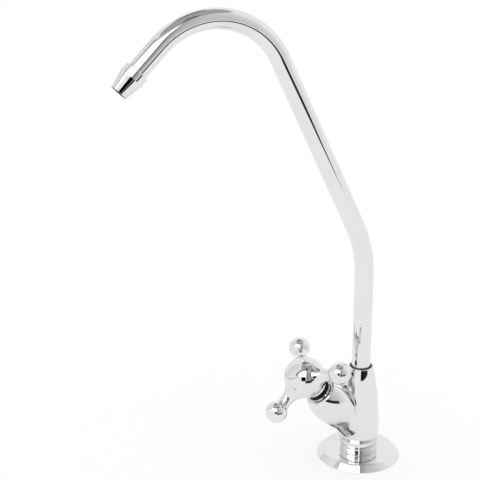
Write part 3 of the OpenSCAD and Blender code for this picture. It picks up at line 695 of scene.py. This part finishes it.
# Hub, arms and balls of one casting: the arms sweep into the hub with no seam
def make_handle():
    skin = Skin()
    arm = arm_runs()
    seam = math.sqrt(HUB_R ** 2 - CAP_R ** 2)
    front = math.asin((seam - HUB_EDGE) / (HUB_R - HUB_EDGE))
    rear = -math.asin((HUB_BACK - HUB_EDGE) / (HUB_R - HUB_EDGE))
    sector = 2 * math.pi / ARM_COUNT
    blend = math.radians(ARM_BLEND)
    hole = []
    for angle in ring_angles(ARM_TURN):
        x, y, z = math.cos(blend), math.sin(blend) * math.cos(angle), math.sin(blend) * math.sin(angle)
        hole.append((math.atan2(y, x), math.asin(z)))
    longitudes = np.linspace(-sector / 2, sector / 2, SECTOR_STEPS + 1)
    flat, triangles = fill_round(longitudes, np.linspace(rear, front, HUB_ROWS), np.array(hole), HUB_CLEAR)
    hub = VALVE.place(np.array([0, 0, HUB_AT]))
    for k in range(ARM_COUNT):
        start = math.radians(ARM_START) + k * sector
        turned(skin, arm, Seat(hub, VALVE.level(start + math.pi / 2), VALVE.level(start)), ARM_TURN)
        longitude, latitude = flat[:, 0] + start, flat[:, 1]
        c = np.cos(latitude)
        n = np.stack([c * np.cos(longitude), c * np.sin(longitude), np.sin(latitude)], axis=1)
        skin.add(hub + VALVE.turn(n * HUB_R), VALVE.turn(n), triangles)

    # Front edge down into the cap's seat, rear edge into the well over the neck
    floor = HUB_AT + seam - CAP_SEAM_DEPTH
    front_edge = sphere_edge(front, 1)
    lip = front_edge[-1][:2]
    rear_edge = sphere_edge(rear, -1)
    rear_r, rear_z = rear_edge[-1][:2]
    well = [(0, HUB_WELL_TOP, 0), (HUB_WELL_R, HUB_WELL_TOP, 0), (HUB_WELL_R, rear_z, HUB_WELL_EDGE),
            (rear_r, rear_z, 0)]
    runs = [front_edge, line(lip, (lip[0], floor)), line((lip[0], floor), (0, floor)), rear_edge]
    seat = Seat(VALVE.zero, VALVE.level(math.radians(ARM_START) - sector / 2), VALVE.z)
    turned(skin, runs + rounded(well), seat, ARM_COUNT * SECTOR_STEPS)
    return skin.build("ball_handle", "handle", "handle_chrome", "handle")


def make_cap():
    skin = Skin()
    seam = HUB_AT + math.sqrt(HUB_R ** 2 - CAP_R ** 2)
    bottom = seam - CAP_SEAM_DEPTH
    middle = seam - math.sqrt(CAP_DOME_R ** 2 - CAP_R ** 2)
    outer_r = CAP_R - CAP_SEAM
    edge_r = outer_r - CAP_EDGE
    edge_z = middle + math.sqrt((CAP_DOME_R - CAP_EDGE) ** 2 - edge_r ** 2)
    lean = math.degrees(math.atan2(edge_z - middle, edge_r))
    runs = [
        line((outer_r, bottom), (outer_r, edge_z)),
        arc((edge_r, edge_z), CAP_EDGE, 0, lean),
        arc((0, middle), CAP_DOME_R, lean, 90, steps=32),
        line((0, bottom), (outer_r, bottom)),
    ]
    turned(skin, runs, VALVE)
    return skin.build("hub_cap", "handle", "handle_chrome", "handle_cap")


def make_bush():
    bottom = BUSH_TOP - BUSH_H
    outline = [(BUSH_BORE_R, bottom, 0), (BUSH_R, bottom, 0), (BUSH_R, BUSH_TOP, BUSH_EDGE),
               (BUSH_BORE_R, BUSH_TOP, BUSH_EDGE), (BUSH_BORE_R, bottom, 0)]
    return turned_piece(outline, UPRIGHT, "spout_ring", "tap", "black_plastic", "spout_bush")


# Directions in the spout's plane at a heading: along the tube, and square to it
def ahead(heading):
    return np.array([0.0, -math.sin(heading), math.cos(heading)])


def outward(heading):
    return np.array([0.0, math.cos(heading), math.sin(heading)])


# Centre line of the spout as rows of (place, heading), and the place and heading where the arch ends
def spout_path():
    rows = []
    place = np.array([0.0, 0.0, SPIGOT_TOP])
    heading = 0.0

    def straight(length, steps):
        nonlocal place
        for i in range(steps):
            rows.append((place + ahead(heading) * length * i / steps, heading))
        place = place + ahead(heading) * length

    def bend(radius, degrees, steps):
        nonlocal place, heading
        centre = place - radius * outward(heading)
        for i in range(steps):
            angle = heading + math.radians(degrees) * i / steps
            rows.append((centre + radius * outward(angle), angle))
        heading += math.radians(degrees)
        place = centre + radius * outward(heading)

    straight(BEND_START - SPIGOT_TOP, steps=12)
    bend(LOWER_BEND_R, LOWER_BEND, steps=28)
    straight(SLANT, steps=20)
    bend(ARCH_R, ARCH, steps=110)
    outlet = (place, heading)
    straight(OUTLET_RUN - NOZZLE_LEN + NOZZLE_SOCKET, steps=6)
    rows.append((place, heading))
    return rows, outlet


def make_tube(rows):
    skin = Skin()
    angles = ring_angles(TUBE_TURN)[:, None]
    level = np.array([1.0, 0.0, 0.0])
    normals = np.array([np.cos(angles) * level + np.sin(angles) * outward(heading) for _, heading in rows])
    places = np.array([place for place, _ in rows])[:, None, :]
    outer = places + TUBE_R * normals
    inner = places + (TUBE_R - TUBE_WALL) * normals
    skin.add_net(outer, normals)
    skin.add_net(inner, -normals)
    for end, sign in ((0, -1), (-1, 1)):
        face = np.broadcast_to(sign * ahead(rows[end][1]), (2, TUBE_TURN, 3))
        skin.add_net(np.stack([inner[end], outer[end]]), face)
    return skin.build("bent_spout", "spout", "spout_chrome", "spout_tube")


def make_nozzle(place, heading):
    seat = Seat(place + ahead(heading) * (OUTLET_RUN - NOZZLE_LEN), (1, 0, 0), ahead(heading))
    bore = TUBE_R + SEAT_GAP
    outline = [(bore, 0, 0), (NOZZLE_R, 0, NOZZLE_HEEL_EDGE), (NOZZLE_R, NOZZLE_BAND, NOZZLE_BAND_EDGE),
               (NOZZLE_TIP_R, NOZZLE_LEN, NOZZLE_TIP_EDGE), (NOZZLE_MOUTH_R, NOZZLE_LEN, NOZZLE_TIP_EDGE),
               (NOZZLE_MOUTH_R, NOZZLE_SOCKET, 0), (bore, NOZZLE_SOCKET, 0), (bore, 0, 0)]
    nozzle = turned_piece(outline, seat, "spout_tip", "spout", "spout_chrome", "spout_nozzle", TUBE_TURN)

    # The plating stops at the mouth, so its end face and its bore take the second finish: bare metal painted
    # near black, as painted shade of the deep bore
    def at_mouth(along, out):
        return out < NOZZLE_MOUTH_R + SEAT_GAP or along > NOZZLE_LEN - SEAT_GAP

    second_finish(nozzle, seat, at_mouth)
    return nozzle


def make_spout():
    rows, outlet = spout_path()
    return make_tube(rows), make_nozzle(*outlet)


def make_camera():
    azimuth, elevation = math.radians(CAMERA_AZIMUTH), math.radians(CAMERA_ELEVATION)
    level = math.cos(elevation)
    back = Vector((math.sin(azimuth) * level, -math.cos(azimuth) * level, math.sin(elevation)))
    data = bpy.data.cameras.new("camera")
    data.lens = CAMERA_LENS
    data.sensor_width = CAMERA_SENSOR
    data.clip_start = CAMERA_NEAR
    camera = add_object("camera", data)
    camera.location = CAMERA_AT
    camera.rotation_mode = "QUATERNION"
    roll = Matrix.Rotation(math.radians(CAMERA_ROLL), 4, back)
    camera.rotation_quaternion = roll.to_quaternion() @ (-back).to_track_quat("-Z", "Y")
    bpy.context.scene.camera = camera


# A material with its main shader, and short ways to vary it by noise
class Finish:
    def __init__(self, name, colour, metallic, roughness):
        self.material = bpy.data.materials.new(name)
        self.material.use_nodes = True
        self.tree = self.material.node_tree
        self.shader = self.tree.nodes["Principled BSDF"]
        self.shader.inputs["Base Color"].default_value = (*colour, 1)
        self.shader.inputs["Metallic"].default_value = metallic
        self.shader.inputs["Roughness"].default_value = roughness
        self.place = self.tree.nodes.new("ShaderNodeTexCoord").outputs["Object"]

    def noise(self, scale, detail, stretch=None):
        made = self.tree.nodes.new("ShaderNodeTexNoise")
        made.inputs["Scale"].default_value = scale
        made.inputs["Detail"].default_value = detail
        place = self.place
        if stretch:
            mapping = self.tree.nodes.new("ShaderNodeMapping")
            mapping.inputs["Scale"].default_value = stretch
            self.tree.links.new(place, mapping.inputs["Vector"])
            place = mapping.outputs["Vector"]
        self.tree.links.new(place, made.inputs["Vector"])
        return made.outputs["Fac"]

    def tint(self, value, dark, light):
        ramp = self.tree.nodes.new("ShaderNodeValToRGB")
        for stop, position, colour in zip(ramp.color_ramp.elements, (NOISE_LOW, NOISE_HIGH), (dark, light)):
            stop.position = position
            stop.color = (*colour, 1)
        self.tree.links.new(value, ramp.inputs["Fac"])
        self.tree.links.new(ramp.outputs["Color"], self.shader.inputs["Base Color"])

    def roughen(self, value, low, high):
        spread = self.tree.nodes.new("ShaderNodeMapRange")
        spread.inputs["From Min"].default_value = NOISE_LOW
        spread.inputs["From Max"].default_value = NOISE_HIGH
        spread.inputs["To Min"].default_value = low
        spread.inputs["To Max"].default_value = high
        self.tree.links.new(value, spread.inputs["Value"])
        self.tree.links.new(spread.outputs["Result"], self.shader.inputs["Roughness"])

    # The depth is in metres
    def bump(self, value, depth):
        made = self.tree.nodes.new("ShaderNodeBump")
        made.inputs["Distance"].default_value = depth
        made.inputs["Strength"].default_value = 1.0
        self.tree.links.new(value, made.inputs["Height"])
        self.tree.links.new(made.outputs["Normal"], self.shader.inputs["Normal"])


# Polished chrome: faint waves from the casting under the plating, and wiped patches that are less sharp
def chrome(name, wave_scale, wave_depth):
    finish = Finish(name, CHROME, 1.0, 0.03)
    finish.tint(finish.noise(45.0, 4.0), CHROME_DIM, CHROME)
    finish.roughen(finish.noise(90.0, 6.0), 0.012, 0.05)
    finish.bump(finish.noise(wave_scale, 1.0), wave_depth)
    return finish.material


# Turned brass: fine rings from the lathe, tarnish in patches
def brass():
    finish = Finish("turned_brass", (0.72, 0.52, 0.22), 1.0, 0.25)
    finish.tint(finish.noise(160.0, 5.0), (0.52, 0.34, 0.13), (0.76, 0.57, 0.27))
    finish.roughen(finish.noise(220.0, 4.0), 0.18, 0.36)
    finish.bump(finish.noise(60.0, 2.0, (1, 1, 90)), 0.00003)
    return finish.material


# Spring steel: dull grey with drawn streaks
def steel():
    finish = Finish("spring_steel", (0.5, 0.5, 0.52), 1.0, 0.3)
    finish.tint(finish.noise(190.0, 5.0), (0.40, 0.40, 0.42), (0.58, 0.58, 0.60))
    finish.roughen(finish.noise(400.0, 4.0), 0.22, 0.42)
    finish.bump(finish.noise(500.0, 2.0, (1, 1, 8)), 0.00002)
    return finish.material


# Bare metal inside a bore that the plating did not reach: dull and stained, and dark as painted shade of the
# deep bore
def bare_metal_painted_shade():
    # The near-black colours here are painted shade inside the nozzle's bore
    finish = Finish("bare_bore_painted_shade", (0.05, 0.045, 0.04), 1.0, 0.5)
    finish.tint(finish.noise(300.0, 5.0), (0.03, 0.028, 0.026), (0.07, 0.06, 0.05))
    finish.roughen(finish.noise(500.0, 4.0), 0.4, 0.65)
    finish.bump(finish.noise(900.0, 2.0), 0.00002)
    return finish.material


# Rubber: near black, dull, finely pitted
def rubber():
    finish = Finish("seal_rubber", (0.006, 0.006, 0.006), 0.0, 0.6)
    finish.shader.inputs["Specular IOR Level"].default_value = RUBBER_SHINE
    finish.tint(finish.noise(260.0, 6.0), (0.003, 0.003, 0.003), (0.011, 0.011, 0.011))
    finish.roughen(finish.noise(700.0, 4.0), 0.5, 0.8)
    finish.bump(finish.noise(2400.0, 2.0), 0.00004)
    return finish.material


# Moulded plastic with a fine grain
def plastic(name, dark, light, low, high):
    finish = Finish(name, light, 0.0, low)
    finish.tint(finish.noise(300.0, 5.0), dark, light)
    finish.roughen(finish.noise(500.0, 4.0), low, high)
    finish.bump(finish.noise(3000.0, 2.0), 0.00002)
    return finish.material


# Ceramic discs: lapped smooth, off white
def ceramic():
    finish = Finish("lapped_ceramic", (0.86, 0.85, 0.82), 0.0, 0.12)
    finish.tint(finish.noise(900.0, 6.0), (0.80, 0.79, 0.75), (0.90, 0.89, 0.86))
    finish.roughen(finish.noise(600.0, 4.0), 0.08, 0.2)
    finish.bump(finish.noise(4000.0, 2.0), 0.000005)
    return finish.material


FINISHES = {
    "body_chrome": chrome("cast_chrome", 120.0, 0.000012),
    "handle_chrome": chrome("handle_plating", 130.0, 0.00001),
    "spout_chrome": chrome("tube_chrome", 70.0, 0.000008),
    "brass": brass(),
    "steel": steel(),
    "rubber": rubber(),
    "black_plastic": plastic("black_moulding", (0.008, 0.008, 0.009), (0.022, 0.022, 0.023), 0.3, 0.5),
    "white_plastic": plastic("white_moulding", (0.74, 0.74, 0.72), (0.84, 0.84, 0.82), 0.35, 0.5),
    "ceramic": ceramic(),
}

# Finishes of the faces that differ from the rest of their piece
# The nozzle's near-black bore finish is painted shade
SECOND_FINISHES = {"spout_tip": bare_metal_painted_shade(), "valve_neck": FINISHES["rubber"]}


def dress(pieces):
    for piece in pieces:
        piece.data.materials.append(FINISHES[piece["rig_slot"]])
        if piece.name in SECOND_FINISHES:
            piece.data.materials.append(SECOND_FINISHES[piece.name])
    slots = {entry["node"]: entry["material_slot"] for entry in frame["record"]["subparts"]}
    for name, node in frame["nodes"].items():
        for material_slot in node.material_slots:
            material_slot.material = FINISHES[slots[name]]


# A material of the stage with nothing in it but the kinds of node named
def stage_material(name, *kinds):
    material = bpy.data.materials.new(name)
    material.use_nodes = True
    tree = material.node_tree
    tree.nodes.clear()
    return material, tree, [tree.nodes.new("ShaderNode" + kind) for kind in kinds]


def between(start, end, share):
    return start + (end - start) * share


# A sheet that only mirrors see, hung round the tap: it gives light or keeps it out.
# It runs between two azimuths, and its low and high edges are (distance, height) in metres, where
# the high edge may end elsewhere than it starts. The levels are its light at either end. Its soft
# borders at start, end, foot and top are shares of its width and height.
def card(name, azimuths, low, high, levels, soft, high_end=None):
    points, level, mask = [], [], []
    for i in range(CARD_RISE + 1):
        v = i / CARD_RISE
        for j in range(CARD_ACROSS + 1):
            u = j / CARD_ACROSS
            azimuth = math.radians(between(*azimuths, u))
            top = [between(a, b, u) for a, b in zip(high, high_end or high)]
            out, z = (between(a, b, v) for a, b in zip(low, top))
            points.append((out * math.sin(azimuth), -out * math.cos(azimuth), z))
            level.append(between(*levels, u))
            fade = 1.0
            for share, border in zip((u, 1 - u, v, 1 - v), soft):
                fade *= min(1.0, share / border) if border else 1.0
            mask.append(fade * fade * (3 - 2 * fade))
    row = CARD_ACROSS + 1
    corners = [i * row + j for i in range(CARD_RISE) for j in range(CARD_ACROSS)]
    mesh = bpy.data.meshes.new(name)
    mesh.from_pydata(points, [], [(k, k + 1, k + row + 1, k + row) for k in corners])
    for label, values in (("level", level), ("mask", mask)):
        mesh.attributes.new(label, "FLOAT", "POINT").data.foreach_set("value", values)
    material, tree, nodes = stage_material(name, "OutputMaterial", "MixShader", "BsdfTransparent", "Emission")
    output, mix, clear, glow = nodes
    for label, target in (("level", glow.inputs["Strength"]), ("mask", mix.inputs["Fac"])):
        reader = tree.nodes.new("ShaderNodeAttribute")
        reader.attribute_name = label
        tree.links.new(reader.outputs["Fac"], target)
    tree.links.new(clear.outputs["BSDF"], mix.inputs[1])
    tree.links.new(glow.outputs["Emission"], mix.inputs[2])
    tree.links.new(mix.outputs["Shader"], output.inputs["Surface"])
    mesh.materials.append(material)
    made = add_object(name, mesh)
    for ray in ("camera", "diffuse", "shadow", "transmission", "volume_scatter"):
        setattr(made, "visible_" + ray, False)


# White floor that keeps the tap's shadow. To the camera and in mirrors it is partly plain white, and
# from below it is clear.
def make_floor():
    corners = [(x * FLOOR_REACH, y * FLOOR_REACH, 0) for x, y in ((-1, -1), (1, -1), (1, 1), (-1, 1))]
    mesh = bpy.data.meshes.new("floor")
    mesh.from_pydata(corners, [], [(0, 1, 2, 3)])
    material, tree, nodes = stage_material(
        "white_floor", "OutputMaterial", "MixShader", "MixShader", "BsdfDiffuse", "Emission",
        "BsdfTransparent", "NewGeometry", "LightPath", "Math", "Math", "Math")
    output, sides, front, paint, shine, clear, geometry, path, seen, either, share = nodes
    paint.inputs["Color"].default_value = WHITE
    seen.operation = "ADD"
    either.operation = "ADD"
    either.use_clamp = True
    share.operation = "MULTIPLY"
    share.inputs[1].default_value = FLOOR_GLOW
    links = (
        (path.outputs["Is Camera Ray"], seen.inputs[0]),
        (path.outputs["Is Glossy Ray"], seen.inputs[1]),
        (seen.outputs["Value"], either.inputs[0]),
        (path.outputs["Is Transmission Ray"], either.inputs[1]),
        (either.outputs["Value"], share.inputs[0]),
        (share.outputs["Value"], front.inputs["Fac"]),
        (paint.outputs["BSDF"], front.inputs[1]),
        (shine.outputs["Emission"], front.inputs[2]),
        (geometry.outputs["Backfacing"], sides.inputs["Fac"]),
        (front.outputs["Shader"], sides.inputs[1]),
        (clear.outputs["BSDF"], sides.inputs[2]),
        (sides.outputs["Shader"], output.inputs["Surface"]),
    )
    for output_socket, input_socket in links:
        tree.links.new(output_socket, input_socket)
    mesh.materials.append(material)
    add_object("floor", mesh)


# White room: a grey ceiling, a bright soft box in its dark frame, panels at the side and the left, and
# dark sheets for the camera's stand, the low opening, the edge and top of the box and the top of the wall
def make_studio():
    world = bpy.data.worlds.new("white_room")
    bpy.context.scene.world = world
    world.use_nodes = True
    background = world.node_tree.nodes["Background"]
    background.inputs["Color"].default_value = WHITE
    background.inputs["Strength"].default_value = 1.0
    make_floor()
    card("ceiling", (0, 360), (1.05, 1.65), (0, 2.0), levels=(0.42, 0.42), soft=(0, 0, 0.12, 0))
    card("soft_box", (-8, 70), (3.0, 1.6), (0.35, 0.55), levels=(2.0, 2.0),
         soft=(0.03, 0.02, 0.1, 0.04), high_end=(0.25, 0.55))
    card("box_frame", (-17, 71), (2.6, 1.5), (0.33, 0.57), levels=(0.05, 0.1),
         soft=(0.03, 0.02, 0.1, 0.02), high_end=(0.23, 0.57))
    card("side_panel", (70, 165), (1.6, -0.4), (0.95, 1.7), levels=(0.45, 0.95),
         soft=(0.02, 0.2, 0.2, 0.02))
    card("left_panel", (-66, -14), (1.7, -0.1), (1.1, 1.6), levels=(0.78, 1.0),
         soft=(0.02, 0.05, 0.05, 0.05))
    card("camera_stand", (40, 64), (0.54, 0.09), (0.54, 0.32), levels=(0.0, 0.0),
         soft=(0.05, 0.05, 0.05, 0.05))
    card("low_opening", (60, 124), (0.5, -0.01), (0.5, 0.115), levels=(0.0, 0.04),
         soft=(0.05, 0.12, 0.1, 0.2))
    card("box_edge", (69, 94), (1.3, -0.2), (0.8, 1.5), levels=(0.25, 0.25),
         soft=(0.04, 0.9, 0.05, 0.15))
    card("wall_top", (-118, -62), (1.0, 1.32), (0.7, 1.8), levels=(0.1, 0.1),
         soft=(0.15, 0.25, 0.25, 0.1))
    card("box_top", (66, 112), (0.72, 1.45), (0.36, 1.8), levels=(0.12, 0.12),
         soft=(0.05, 0.4, 0.15, 0.2))
    bpy.context.scene.view_settings.view_transform = "Standard"


make_camera()
pieces = [make_body(), make_flange(), make_collar(), make_shank(), make_bonnet(), make_handle(), make_cap(),
          make_bush(), *make_spout()]
dress(pieces)
make_studio()
